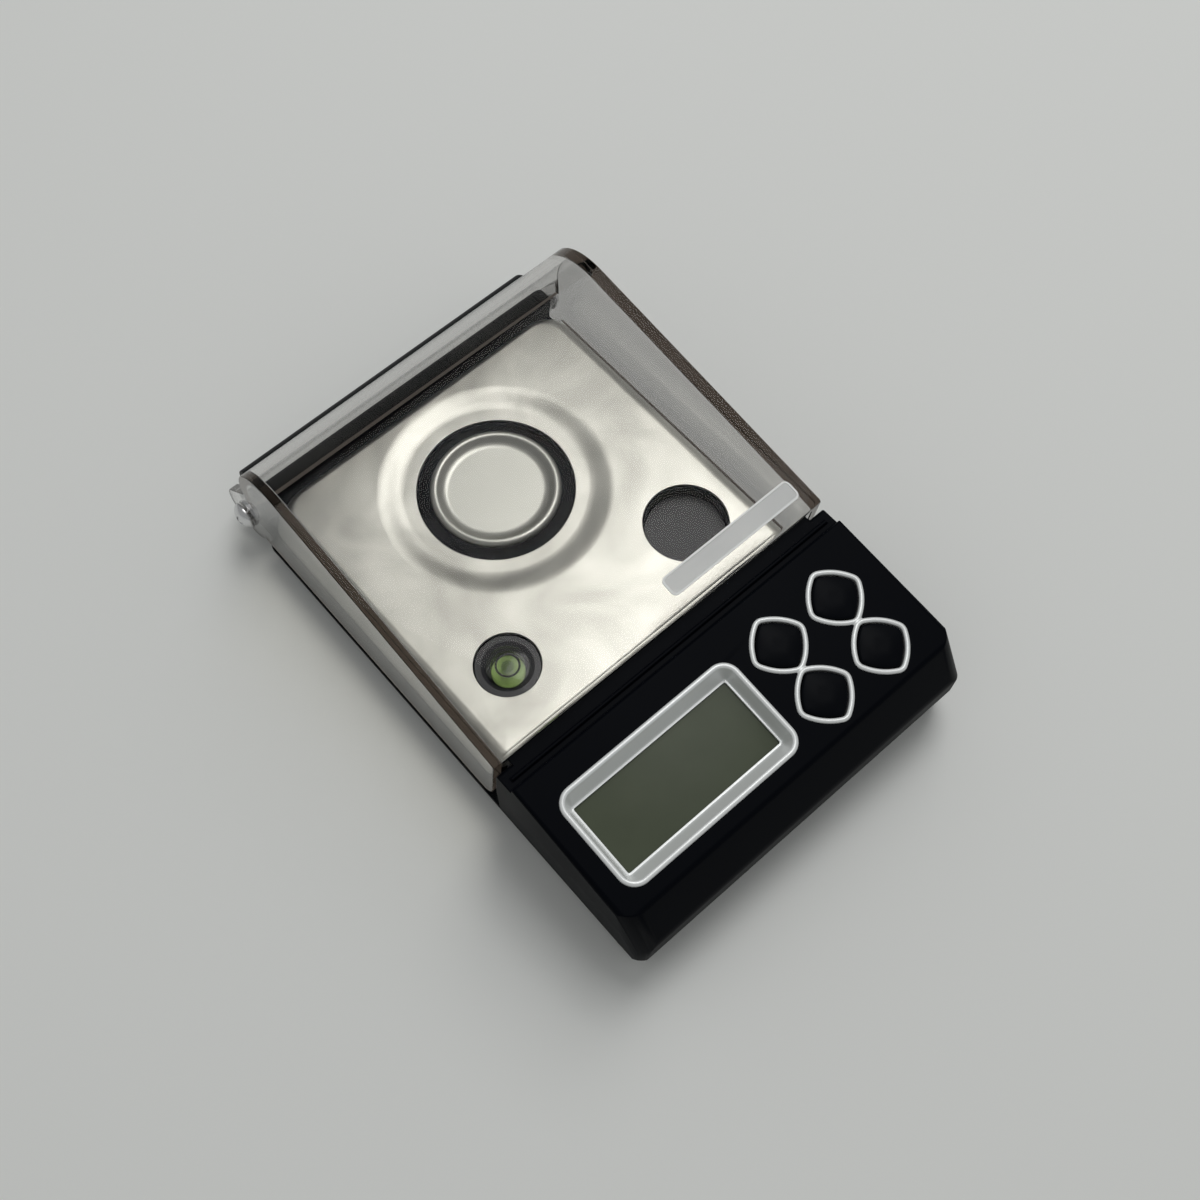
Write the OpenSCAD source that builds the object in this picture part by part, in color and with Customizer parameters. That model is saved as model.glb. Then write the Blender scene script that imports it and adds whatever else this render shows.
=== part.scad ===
// Pocket milligram balance with a flip-up draft hood.
// Millimetres. X to the user's right, Y to the rear, Z up, feet on Z = 0, centred on X = 0 and Y = 0.

/* [Base] */
// overall length, front chin to rear stop rim
base_len = 148.8; // [142:0.2:160]
// console width at its widest line, the belt
base_w = 95.4; // [94:0.2:100]
// height of the belt
belt_z = 12.5; // [11:0.5:14]
// how far each console side leans in from the belt to its top edge
console_lean = 1.4; // [0.8:0.1:3]
// vertical corner radius of the console
corner_r = 5; // [4:0.5:7]
// underside of the lower housing above the table
bottom_z = 1.2; // [0.8:0.1:2]
// parting line between the lower and upper housings
parting_z = 7.6; // [6.5:0.1:8.2]
// thickness of the ledge that the hood walls hang over
ledge_t = 1.4; // [1.2:0.1:2]
// general moulded wall
wall = 2; // [1.6:0.1:2.4]
// stop rim height behind the hinge barrel
stop_z = 11.9; // [11.2:0.1:11.9]

/* [Console] */
// slope of the control panel, degrees
panel_slope = 6.65; // [5:0.05:8]
// height of the panel surface midway front to back
panel_z = 28.8; // [27.5:0.1:30]
// front edge of the panel, measured back from the front of the base
panel_front = 5.9; // [5:0.1:7]
// rear edge of the panel, measured back from the front of the base
panel_rear = 40.8; // [40.4:0.1:42]
// gap between the closed hood's front edge and its rest
rest_gap = 0.15; // [0.1:0.05:0.3]
// panel skin
panel_t = 2.2; // [1.8:0.1:2.6]

/* [Deck] */
// hood's top edge to the steel cover, each side
plate_side = 6.9; // [6.5:0.1:8]
// rest of the closed hood to the steel cover
plate_gap = 2.5; // [2.3:0.1:4]
// land between the dished ring and the cover's rear edge
dish_land = 1.5; // [1.4:0.1:2.5]
// top of the steel cover above the table
plate_z = 16.3; // [16:0.1:16.6]
// gauge of the steel sheet
plate_t = 0.8; // [0.6:0.1:0.9]
// radius of the cover's plan corners
plate_r = 6; // [5:0.2:8]
// radius of the bent edge
bend_r = 1.6; // [1.2:0.1:2]
// depth of the folded skirt
skirt_h = 3.8; // [3:0.1:4]
// depth of the dished ring around the pan
dish_drop = 1; // [0.7:0.1:1.1]
// hole around the pan, radius
pan_hole_r = 18.5; // [18:0.1:19.5]
// hole over the check-weight recess, radius
weight_r = 9.9; // [9:0.1:10.5]
// hole over the spirit level, radius
level_r = 7.6; // [7.2:0.1:8]

/* [Weighing] */
// pan radius over the rolled rim
pan_r = 15.3; // [14.5:0.1:16]
// flat floor of the pan, radius
pan_floor_r = 11; // [10:0.1:11.5]
// pan sheet
pan_t = 0.6; // [0.5:0.05:0.7]
// full-load sag of the load cell
pan_travel = 0.35; // [0.2:0.05:0.4]
// load-cell beam width
cell_w = 10; // [8:0.5:12]
// load-cell beam depth
cell_h = 6; // [5:0.1:6]
// load-cell beam length
cell_len = 40; // [38:0.5:42]

/* [Hood] */
// hinge axis from the rear of the base
pivot_from_rear = 10.5; // [10.3:0.1:10.8]
// hinge axis above the table
pivot_z = 12; // [11.9:0.1:12.4]
// hinge barrel radius
barrel_r = 9; // [8.6:0.1:9.1]
// belt to the hood's top edge, each side
hood_side = 1.7; // [1.2:0.1:2.2]
// draft of each hood wall from top to bottom edge
hood_draft = 1; // [0.6:0.1:1.2]
// hood wall thickness
hood_t = 2.4; // [2.2:0.1:2.9]
// height of the hood's top at its front edge
hood_front_z = 31.5; // [31:0.1:32]
// slope of the hood's top, degrees
hood_slope = 8.36; // [7:0.05:9]
// rear corner radius of the hood
hood_rear_r = 14.7; // [12:0.1:16]
// radius of the ear around the pivot
ear_r = 7; // [6:0.1:7.2]
// running clearance of the hood over the barrel and ledge
hood_gap = 0.45; // [0.4:0.05:0.6]

/* [Keys] */
// right end of the belt to the left key column
key_side = 31.4; // [31:0.1:32]
// key column pitch
key_dx = 16.55; // [16:0.05:17.5]
// key row pitch along the panel
key_dv = 13.9; // [13.7:0.05:14.2]
// half width of the silver trim across its flats
trim_half = 6.3; // [6.1:0.05:6.4]
// radius of each bowed side of the trim
trim_bow = 13; // [12:0.5:16]
// corner radius of the trim
trim_r = 2.6; // [2.3:0.1:2.9]
// width of the trim line
trim_w = 1.15; // [1:0.05:1.25]
// gap between a key and its trim
key_gap = 0.3; // [0.25:0.05:0.4]
// key travel
key_travel = 0.5; // [0.3:0.05:0.55]

/* [Display] */
// left end of the belt to the bezel's rim
bezel_side = 5.9; // [5.6:0.1:7]
// bezel's rim to the middle of the left key column
bezel_gap = 10.1; // [9.9:0.1:11]
// bezel width over its rim
bezel_wid = 24.7; // [23:0.1:25]
// bright rim width
bezel_rim = 1.3; // [1:0.1:1.5]
// glass depth below the panel
glass_drop = 3.2; // [2.6:0.1:3.4]
// bezel's rim to the visible glass, each end
glass_end = 3; // [2.8:0.1:5]
// visible glass width
glass_wid = 17; // [15:0.1:17.4]
// foot of the bezel's sloping walls to the glass
glass_step = 0.45; // [0.3:0.05:0.6]

/* [Power] */
// battery door width
door_w = 56; // [54:0.5:57]
// battery door length
door_len = 26.5; // [26:0.5:27]
// how far the door slides forwards to come free
door_slide = 26; // [20:0.5:28]
// cell diameter
battery_d = 10.5; // [10:0.1:10.5]
// cell length with its button
battery_len = 44.5; // [43:0.1:44.6]

/* [Hidden] */
$fn = 48;
y_front = -base_len / 2;
y_rear = base_len / 2;
half_w = base_w / 2;
console_top_w = base_w - 2 * console_lean;
hood_w = base_w - 2 * hood_side;
plate_w = hood_w - 2 * plate_side;
flange_half = half_w - 0.5;
flange_y0 = y_front + 0.6;
ledge_z = parting_z + ledge_t;
pivot_y = y_rear - pivot_from_rear;
panel_y = y_front + (panel_front + panel_rear) / 2;
panel_y0 = y_front + panel_front;
panel_y1 = y_front + panel_rear;
hood_y0 = panel_y1 + 5.5;
hood_y1 = pivot_y - 3;
console_y1 = hood_y0 - 0.7;
tongue_y1 = hood_y0 + 1.5;
rear_half = hood_w / 2 - hood_t - 1.3;
step_y = pivot_y - ear_r - 0.8;
plate_y1 = pivot_y - 5.4;
plate_y0 = tongue_y1 + plate_gap;
dish_in = pan_hole_r + 3.5;
dish_r = pan_hole_r + (plate_y1 - plate_y0) * 99 / 826;
pan_y = plate_y1 - dish_r - dish_land;
deck_z = plate_z - plate_t;
block_z = plate_z - skirt_h - 0.4;
deck_half = plate_w / 2 - plate_t - 0.15;
well_r = pan_hole_r - 0.4;
well_z = plate_z - 3.5;
floor_z = bottom_z + wall;
weight_x = plate_w / 2 - 12.6;
level_x = -weight_x;
side_run = pan_y - plate_y0 + dish_r - 0.4;
side_y = pan_y - (pow(side_run, 2) - pow(weight_x, 2)) / (2 * side_run);
key_x0 = half_w - key_side;
key_v0 = -8.75;
bezel_len = key_x0 - bezel_gap + half_w - bezel_side;
bezel_x = (key_x0 - bezel_gap - half_w + bezel_side) / 2;
bezel_v = -1.6;
glass_len = bezel_len - 2 * glass_end;
board_half = half_w - 4.7;
board_w0 = -9.4;
board_t = 1.6;
skin = 2.6 / cos(hood_slope);
rest_z = hood_front_z - skin - rest_gap;
chin_z = 17.4;
hood_edge_z = pivot_z + sqrt(pow(barrel_r + hood_gap, 2) - 9);
hood_low_z = ledge_z + hood_gap;
door_y0 = y_front + 3;
door_y1 = door_y0 + door_len;
bay_half = 25.6;
bay_y0 = y_front + 5.4;
bay_y1 = bay_y0 + 22.8;
bay_z = floor_z + battery_d + 0.35;
head_x = hood_w / 2 + hood_draft + 0.1;
cell_z = floor_z + 1.4;
cell_y0 = pan_y + 5 - cell_len;
cell_holes = [cell_len * 0.075, cell_len * 0.23];
flex_run = cell_len * 0.1125;
gauge_half = cell_len * 0.06;
posts = [[9.7 - half_w, 13], [half_w - 6.7, 12.6], [9.7 - half_w, -15.9], [key_x0 - 7.7, -2.2]];
bosses = [[half_w - 7.7, y_front + 9], [half_w - 7.3, panel_y1 - 3], [plate_w / 2 - 6.1, pan_y + 16.8]];
feet = [[half_w - 9.7, y_front + 21], [half_w - 13.7, pivot_y - 5]];
key_pos = [[0, 0], [0, 1], [1, 0], [1, 1]];

function panel_at(y) = panel_z + (y - panel_y) * tan(panel_slope);
function hood_at(y) = hood_front_z + (y - hood_y0) * tan(hood_slope);
function unit(v) = v / norm(v);
function half_angle(p, a, b) = acos(unit(a - p) * unit(b - p)) / 2;
function arc_centre(p, a, b, r) = p + unit(unit(a - p) + unit(b - p)) * r / sin(half_angle(p, a, b));
function arc_run(p, a, b, r) = r / tan(half_angle(p, a, b));
function mirrored(list) = [for (q = list) for (s = [-1, 1]) [s * q[0], q[1]]];

// polygon, counter-clockwise, with one true arc radius a corner
module rounded(pts, radii) {
    n = len(pts);
    difference() {
        union() {
            polygon([for (i = [0 : n - 1])
                let(a = pts[(i + n - 1) % n], p = pts[i], b = pts[(i + 1) % n], r = radii[i])
                each (r > 0
                    ? [p + unit(a - p) * arc_run(p, a, b, r), p + unit(b - p) * arc_run(p, a, b, r)]
                    : [p])]);
            corner_discs(pts, radii, 1);
        }
        corner_discs(pts, radii, -1);
    }
}

module corner_discs(pts, radii, side) {
    n = len(pts);
    for (i = [0 : n - 1]) {
        a = pts[(i + n - 1) % n];
        p = pts[i];
        b = pts[(i + 1) % n];
        if (radii[i] > 0 && cross(p - a, b - p) * side > 0)
            translate(arc_centre(p, a, b, radii[i]))
                circle(r = radii[i]);
    }
}

module box2d(w, h, r) {
    rounded([[-w / 2, -h / 2], [w / 2, -h / 2], [w / 2, h / 2], [-w / 2, h / 2]], [r, r, r, r]);
}

// a (Y, Z) outline drawn out across X
module along_x(half) {
    rotate([90, 0, 90])
        translate([0, 0, -half])
            linear_extrude(2 * half)
                children();
}

// an (X, Z) outline drawn out along Y
module along_y(y0, y1) {
    translate([0, y1, 0])
        rotate([90, 0, 0])
            linear_extrude(y1 - y0)
                children();
}

module slab(z0, z1) {
    translate([0, 0, z0])
        linear_extrude(z1 - z0)
            children();
}

module block(x0, x1, y0, y1, z0, z1) {
    translate([x0, y0, z0])
        cube([x1 - x0, y1 - y0, z1 - z0]);
}

// local frame of the sloped panel: X, V up the slope, W out of the surface
module on_panel() {
    translate([0, panel_y, panel_z])
        rotate([panel_slope, 0, 0])
            children();
}

module at_key(i) {
    translate([key_x0 + key_pos[i][0] * key_dx, key_v0 + key_pos[i][1] * key_dv, 0])
        children();
}

// diamond with bowed sides: four large arcs run into four corner arcs, shrunk evenly by the inset
module diamond(inset) {
    bow = trim_bow - inset;
    r = trim_r - inset;
    k = trim_bow - trim_half;
    c = (sqrt(2 * pow(bow - r, 2) - k * k) - k) / 2;
    cut = (2 * c + k) * bow / (bow - r) - k;
    intersection() {
        bowed_side(k, 45, bow);
        bowed_side(k, 135, bow);
        bowed_side(k, 225, bow);
        bowed_side(k, 315, bow);
        square(sqrt(2) * cut, center = true);
    }
    for (a = [0 : 90 : 270])
        rotate(a)
            translate([c * sqrt(2), 0])
                circle(r = r + 0.03);
}

module bowed_side(k, a, bow) {
    rotate(a)
        translate([k, 0])
            circle(r = bow);
}

module pin(p, r, z0, z1) {
    translate([p[0], p[1], z0])
        cylinder(r = r, h = z1 - z0);
}

module trapezoid(low_half, low_z, high_half, high_z) {
    polygon([[-low_half, low_z], [low_half, low_z], [high_half, high_z], [-high_half, high_z]]);
}

// outline of the base: full width beside the hood walls, stepped in for the hood ears
module base_plan(inset) {
    w = flange_half - inset;
    n = rear_half - inset;
    r = corner_r + 2 - inset;
    rounded([[-w, flange_y0 + inset], [w, flange_y0 + inset], [w, step_y - inset], [n, step_y - inset],
        [n, y_rear - inset], [-n, y_rear - inset], [-n, step_y - inset], [-w, step_y - inset]],
        [r, r, 2, 1.5, 2.5, 2.5, 1.5, 2]);
}

module deck_plan(half, y0, y1, r) {
    rounded([[-half, y0], [half, y0], [half, y1], [-half, y1]], [2, 2, r, r]);
}

module lower_housing() {
    color([0.09, 0.09, 0.1])
    difference() {
        union() {
            difference() {
                intersection() {
                    slab(bottom_z, parting_z)
                        base_plan(0);
                    along_y(y_front - 1, y_rear + 1)
                        rounded([[-flange_half + 1.3, bottom_z], [flange_half - 1.3, bottom_z],
                            [flange_half, parting_z], [-flange_half, parting_z]], [1.5, 1.5, 0, 0]);
                    along_x(half_w)
                        rounded([[flange_y0 + 1.8, bottom_z], [y_rear - 1.2, bottom_z], [y_rear, parting_z],
                            [flange_y0, parting_z]], [1.5, 1.5, 0, 0]);
                }
                slab(floor_z, parting_z + 1)
                    base_plan(wall + 0.8);
            }
            battery_bay_walls();
            for (p = mirrored(bosses))
                pin(p, 3.2, bottom_z + 0.2, parting_z - 0.05);
            for (p = mirrored(feet))
                pin(p, 6.2, bottom_z + 0.2, floor_z + 0.8);
            for (s = [-1, 1])
                block(s * 15 - 0.6, s * 15 + 0.6, bay_y1 + 4, pivot_y - 8, floor_z - 0.2, floor_z + 2.2);
            for (y = [pan_y - 42.6, pan_y - 14.6, pan_y + 15.4])
                block(9.7 - half_w, half_w - 9.7, y - 0.6, y + 0.6, floor_z - 0.2, floor_z + 1.2);
            pin([0, pan_y], 4, bottom_z + 0.2, cell_z - 0.9);
        }
        battery_bay_cut();
        for (p = mirrored(bosses)) {
            pin(p, 2.5, bottom_z - 1, floor_z + 0.25);
            pin(p, 1.25, bottom_z - 1, parting_z + 1);
        }
        for (p = mirrored(feet))
            pin(p, 4.95, bottom_z - 1, bottom_z + 0.6);
        block(-cell_w / 2 - 0.2, cell_w / 2 + 0.2, cell_y0 - 0.2, cell_y0 + 14.2, floor_z, cell_z + 2);
        block(-cell_w / 2 - 1, cell_w / 2 + 1, cell_y0 + 14, pan_y + 6, cell_z - 0.9, cell_z + 4);
        for (y = cell_holes)
            pin([0, cell_y0 + y], 1.52, bottom_z + 0.7, cell_z);
        pin([0, pan_y], 1.52, bottom_z + 0.4, cell_z);
    }
}

module battery_bay_walls() {
    block(-bay_half - 1.4, bay_half + 1.4, bay_y0 - 1.4, bay_y1 + 1.4, floor_z - 0.2, bay_z + 1);
    block(-door_w / 2 - 3.5, door_w / 2 + 3.5, bay_y0 - 2.2, door_y1 + 2.2, floor_z - 0.4, floor_z + 1.4);
}

module battery_bay_cut() {
    block(-bay_half, bay_half, bay_y0, bay_y1, bottom_z - 1, bay_z);
    block(-door_w / 2 - 0.3, door_w / 2 + 0.3, y_front - 1, door_y1 + 0.3, bottom_z - 1, bottom_z + 1.8);
    block(-door_w / 2 - 1.5, door_w / 2 + 1.5, y_front - 1, door_y1 + 0.3, bottom_z + 0.7, bottom_z + 1.8);
    for (s = [-1, 1])
        for (y = [5.7, 17.1])
            block(s * (bay_half + 0.2) - 1, s * (bay_half + 0.2) + 1, bay_y0 + y - 1.4, bay_y0 + y + 1.4,
                bay_z - 1, bay_z + 3);
}

module console_outer() {
    intersection() {
        along_x(half_w)
            rounded([[flange_y0, parting_z], [console_y1, parting_z], [console_y1, rest_z],
                [panel_y1, rest_z], [panel_y1, panel_at(panel_y1)], [panel_y0, panel_at(panel_y0)],
                [y_front + 0.3, chin_z], [y_front, belt_z]], [0, 0, 0.8, 0.6, 0.8, 1.6, 4, 4]);
        along_y(y_front - 1, console_y1 + 1)
            rounded([[-flange_half, parting_z], [flange_half, parting_z], [half_w, belt_z],
                [console_top_w / 2, panel_at(panel_y1) + 1], [-console_top_w / 2, panel_at(panel_y1) + 1],
                [-half_w, belt_z]], [0, 0, 6, 0, 0, 6]);
        chin_prism();
        panel_prism();
        slab(parting_z, panel_z + 10)
            rounded([[-half_w, y_front], [half_w, y_front], [half_w, console_y1], [-half_w, console_y1]],
                [corner_r, corner_r, 0, 0]);
    }
}

// block whose top is the front slope, with its side edges rolled over
module chin_prism() {
    fall = atan2(panel_at(panel_y0) - chin_z, panel_y0 - y_front - 0.3);
    w = half_w - 0.5;
    translate([0, panel_y0, panel_at(panel_y0)])
        rotate([fall, 0, 0])
            along_y(-60, 60)
                rounded([[-w, -70], [w, -70], [w, 0], [-w, 0]], [0, 0, corner_r, corner_r]);
}

// block whose top is the panel, with its side edges eased
module panel_prism() {
    w = console_top_w / 2 - 0.1;
    on_panel()
        along_y(-60, 60)
            rounded([[-w - 36, -60], [w + 36, -60], [w, 0], [-w, 0]], [0, 0, 1.5, 1.5]);
}

module console_inner() {
    top = panel_at(panel_y1 - wall) - panel_t;
    intersection() {
        along_x(half_w)
            polygon([[flange_y0 + wall, parting_z - 1], [console_y1 - wall, parting_z - 1],
                [console_y1 - wall, rest_z - wall], [panel_y1 - wall, rest_z - wall], [panel_y1 - wall, top],
                [panel_y0 + 1, panel_at(panel_y0 + 1) - panel_t], [y_front + wall + 0.7, chin_z - 0.4]]);
        along_y(y_front - 1, console_y1 + 1)
            polygon([[-flange_half + wall, parting_z - 1], [flange_half - wall, parting_z - 1],
                [half_w - wall, belt_z], [console_top_w / 2 - wall, panel_z + 10],
                [-console_top_w / 2 + wall, panel_z + 10], [-half_w + wall, belt_z]]);
        translate([0, 0, -wall])
            chin_prism();
        slab(parting_z - 1, panel_z + 10)
            rounded([[-half_w + wall, y_front + wall], [half_w - wall, y_front + wall],
                [half_w - wall, console_y1], [-half_w + wall, console_y1]], [corner_r, corner_r, 0, 0]);
    }
}

module barrel_section(r) {
    intersection() {
        union() {
            translate([pivot_y, pivot_z])
                circle(r = r);
            translate([pivot_y - r, parting_z - 1])
                square([2 * r, pivot_z - parting_z + 1]);
        }
        translate([plate_y1 + 0.4, parting_z])
            square([40, 40]);
    }
}

module upper_housing() {
    color([0.06, 0.065, 0.085])
    difference() {
        union() {
            difference() {
                union() {
                    console_outer();
                    slab(parting_z, ledge_z)
                        base_plan(0);
                    block(-rear_half, rear_half, console_y1 - 1, tongue_y1, ledge_z - 0.2, rest_z);
                    block(-rear_half - 2.4, rear_half + 2.4, panel_y1 + 1.6, panel_y1 + 2.4, rest_z - 0.4,
                        rest_z + 0.7);
                    deck_block();
                    along_x(rear_half)
                        barrel_section(barrel_r);
                    block(-rear_half + 2.5, rear_half - 2.5, pivot_y + barrel_r - 1.5, y_rear, parting_z,
                        stop_z);
                }
                console_inner();
                block(-deck_half + wall, deck_half - wall, console_y1 - wall - 1, pivot_y - 1, parting_z - 1,
                    deck_z - wall);
                along_x(rear_half - 2.2)
                    intersection() {
                        translate([pivot_y, pivot_z])
                            circle(r = barrel_r - wall);
                        translate([pivot_y - 4, parting_z - 1])
                            square([40, 40]);
                    }
                block(-rear_half + 2.2, rear_half - 2.2, pivot_y - 2, pivot_y + barrel_r - wall,
                    parting_z - 1, pivot_z);
            }
            intersection() {
                deck_bosses();
                deck_top(parting_z);
            }
            upper_bosses();
            on_panel()
                for (p = posts)
                    pin(p, 1.9, board_w0, -panel_t + 0.6);
            for (s = [-1, 1])
                translate([s * (rear_half - 5), pivot_y, pivot_z])
                    rotate([0, 90, 0])
                        cylinder(r = 3.4, h = 7, center = true);
        }
        deck_cuts();
        panel_cuts();
        for (p = mirrored(bosses))
            pin(p, 1.12, parting_z - 1, parting_z + 5.4);
        translate([0, pivot_y, pivot_z])
            rotate([0, 90, 0])
                cylinder(r = 1.52, h = 4 * half_w, center = true);
    }
}

// raised pedestal under the steel cover, flaring out to the hinge barrel
module deck_block() {
    slab(ledge_z - 0.2, block_z)
        rounded([[-deck_half, console_y1 - 1], [deck_half, console_y1 - 1], [deck_half, pivot_y - 15],
            [rear_half, pivot_y - 6.5], [rear_half, pivot_y], [-rear_half, pivot_y],
            [-rear_half, pivot_y - 6.5], [-deck_half, pivot_y - 15]], [0, 0, 6, 3, 0, 0, 3, 6]);
    deck_top(block_z - 0.2);
}

// top of the pedestal inside the steel cover's skirt, stepped in clear of its bend
module deck_top(z0) {
    bend_in = bend_r - plate_t;
    slab(z0, deck_z - bend_in)
        deck_top_plan(0);
    slab(deck_z - bend_in - 0.2, deck_z)
        deck_top_plan(bend_in);
}

module deck_top_plan(inset) {
    slip = plate_t + 0.15 + inset;
    deck_plan(plate_w / 2 - slip, plate_y0 + slip, plate_y1 - slip, plate_r - slip);
}

module deck_bosses() {
    pin([0, pan_y], dish_r + 1.6, deck_z - 3.1, deck_z);
    pin([0, pan_y], well_r + 1.8, well_z - 1.6, deck_z - 2);
    pin([weight_x, side_y], weight_r + 1.3, deck_z - 4.9, deck_z);
    pin([level_x, side_y], level_r + 1.3, deck_z - 6.7, deck_z);
}

module upper_bosses() {
    for (p = mirrored(bosses)) {
        pin(p, 2.8, parting_z, parting_z + 6.2);
        if (abs(p[0]) > plate_w / 2 - 3)
            block(min(p[0], sign(p[0]) * (half_w - 1.6)), max(p[0], sign(p[0]) * (half_w - 1.6)), p[1] - 0.8,
                p[1] + 0.8, parting_z + 0.4, parting_z + 6.2);
    }
}

module deck_cuts() {
    translate([0, pan_y, deck_z - dish_drop - 0.1])
        cylinder(r1 = dish_in + 0.8, r2 = dish_r + 0.5, h = dish_drop + 0.12);
    pin([0, pan_y], well_r, well_z, plate_z + 1);
    pin([0, pan_y], 3.4, well_z - 4, plate_z);
    pin([weight_x, side_y], weight_r - 0.3, deck_z - 3.4, plate_z + 1);
    pin([level_x, side_y], level_r - 0.15, deck_z - 5.3, plate_z + 1);
}

module panel_cuts() {
    on_panel() {
        translate([bezel_x, bezel_v, -8])
            linear_extrude(20)
                box2d(bezel_len - 0.9, bezel_wid - 0.9, 3.6);
        for (i = [0 : 3])
            at_key(i)
                translate([0, 0, -8])
                    linear_extrude(20)
                        diamond(0.5);
        for (p = posts)
            pin(p, 0.82, board_w0 - 1, board_w0 + 5);
    }
}

// drawn stainless cover: bent edges, folded skirt, dished ring round the pan
module deck_plate() {
    color([0.82, 0.81, 0.78])
    difference() {
        union() {
            difference() {
                plate_solid(0, 0);
                plate_solid(plate_t, -5);
                pin([0, pan_y], dish_r - 0.4, deck_z - 1, plate_z + 1);
            }
            translate([0, pan_y, 0])
                rotate_extrude()
                    polygon([[pan_hole_r, deck_z - dish_drop], [dish_in, deck_z - dish_drop],
                        [dish_r - 0.8, deck_z], [dish_r, deck_z], [dish_r, plate_z], [dish_r - 1, plate_z],
                        [dish_in - 0.2, plate_z - dish_drop], [pan_hole_r, plate_z - dish_drop]]);
        }
        pin([weight_x, side_y], weight_r, deck_z - 1, plate_z + 1);
        pin([level_x, side_y], level_r, deck_z - 1, plate_z + 1);
    }
}

module plate_solid(inset, drop) {
    z0 = plate_z - skirt_h + drop;
    z1 = plate_z - inset;
    r = bend_r - inset;
    half = plate_w / 2 - inset;
    intersection() {
        slab(z0, z1)
            deck_plan(half, plate_y0 + inset, plate_y1 - inset, plate_r - inset);
        along_y(plate_y0 - 1, plate_y1 + 1)
            rounded([[-half, z0], [half, z0], [half, z1], [-half, z1]], [0, 0, r, r]);
        along_x(half + 1)
            rounded([[plate_y0 + inset, z0], [plate_y1 - inset, z0], [plate_y1 - inset, z1],
                [plate_y0 + inset, z1]], [0, 0, r, r]);
    }
}

module level_at() {
    translate([level_x, side_y, 0])
        children();
}

module level_cup() {
    color([0.1, 0.11, 0.11])
    level_at()
    difference() {
        cylinder(r = level_r - 0.3, h = deck_z - 0.2);
        translate([0, 0, -1])
            cylinder(r = 20, h = deck_z - 4.3);
        translate([0, 0, deck_z - 4.3])
            cylinder(r = 4.9, h = 10);
        translate([0, 0, deck_z - 0.9])
            cylinder(r1 = 4.9, r2 = 6.4, h = 1);
    }
}

module level_vial() {
    color([0.85, 0.92, 0.85, 0.4])
    level_at()
    difference() {
        intersection() {
            translate([0, 0, deck_z - 4.3])
                cylinder(r = 4.8, h = 4.6);
            translate([0, 0, deck_z - 29.7])
                sphere(r = 30);
        }
        translate([0, 0, deck_z - 3.6])
            cylinder(r = 3.9, h = 3.2);
    }
}

module level_fluid() {
    color([0.55, 0.75, 0.35, 0.7])
    level_at()
    difference() {
        translate([0, 0, deck_z - 3.55])
            cylinder(r = 3.85, h = 3.1);
        translate([0, 0, deck_z - 1.05])
            cylinder(r = 1.75, h = 1);
    }
}

module level_bubble() {
    color([0.9, 0.97, 0.85, 0.6])
    level_at()
    translate([0, 0, deck_z - 1])
        intersection() {
            cylinder(r = 1.7, h = 0.55);
            translate([0, 0, 2.3])
                sphere(r = 2.3);
        }
}

module level_ring() {
    color([0.05, 0.05, 0.05])
    level_at()
    translate([0, 0, deck_z + 0.28])
        difference() {
            cylinder(r = 2.85, h = 0.1);
            translate([0, 0, -1])
                cylinder(r = 2.4, h = 3);
        }
}

module lcd_at() {
    on_panel()
        translate([bezel_x, bezel_v, 0])
            children();
}

// silver frame: raised rim on the panel, walls sloping down to the glass
module lcd_bezel() {
    in_len = bezel_len - 2 * bezel_rim;
    in_wid = bezel_wid - 2 * bezel_rim;
    color([0.78, 0.8, 0.8])
    lcd_at()
    difference() {
        union() {
            translate([0, 0, 0.02])
                linear_extrude(0.45)
                    box2d(bezel_len, bezel_wid, 4.2);
            translate([0, 0, -glass_drop - 0.5])
                linear_extrude(glass_drop + 0.8)
                    box2d(bezel_len - 1.2, bezel_wid - 1.2, 3.45);
        }
        intersection() {
            translate([0, 0, -glass_drop])
                linear_extrude(20)
                    box2d(in_len, in_wid, 3);
            along_y(-bezel_wid, bezel_wid)
                trapezoid(glass_len / 2 + glass_step, -glass_drop, in_len - glass_len / 2 - glass_step,
                    2 * 0.47 + glass_drop);
            along_x(bezel_len)
                trapezoid(glass_wid / 2 + glass_step, -glass_drop, in_wid - glass_wid / 2 - glass_step,
                    2 * 0.47 + glass_drop);
        }
        translate([0, 0, -10])
            linear_extrude(20)
                box2d(glass_len, glass_wid, 0.4);
    }
}

module lcd_panel() {
    color([0.27, 0.3, 0.25])
    lcd_at()
    translate([0, 0, -glass_drop - 0.6 - 2.2])
        difference() {
            translate([-glass_len / 2 - 1.2, -glass_wid / 2 - 1.5, 0])
                cube([glass_len + 2.4, glass_wid + 3, 2.2]);
            translate([-glass_len, -glass_wid / 2 - 3.5, 1.1])
                cube([2 * glass_len, 3.4, 3]);
        }
}

module lcd_backlight() {
    color([0.9, 0.92, 0.9])
    lcd_at()
    translate([-glass_len / 2 - 1, 1.9 - glass_wid / 2, board_w0 + 0.1])
        cube([glass_len + 2, glass_wid - 0.6, -glass_drop - 2.95 - board_w0]);
}

module zebra_strip() {
    color([0.85, 0.5, 0.55])
    lcd_at()
    translate([0.5 - glass_len / 2, -glass_wid / 2 - 1.1, board_w0 + 0.02])
        cube([glass_len - 1, 2, -glass_drop - 2.84 - board_w0]);
}

module main_board() {
    color([0.05, 0.3, 0.14])
    on_panel()
    difference() {
        translate([0, 0, board_w0 - board_t])
            linear_extrude(board_t)
                rounded([[-board_half, -17.6], [board_half, -17.6], [board_half, 14.8], [-board_half, 14.8]],
                    [2.5, 2.5, 2.5, 2.5]);
        for (p = posts)
            pin(p, 1.25, board_w0 - 3, board_w0 + 1);
    }
}

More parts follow.
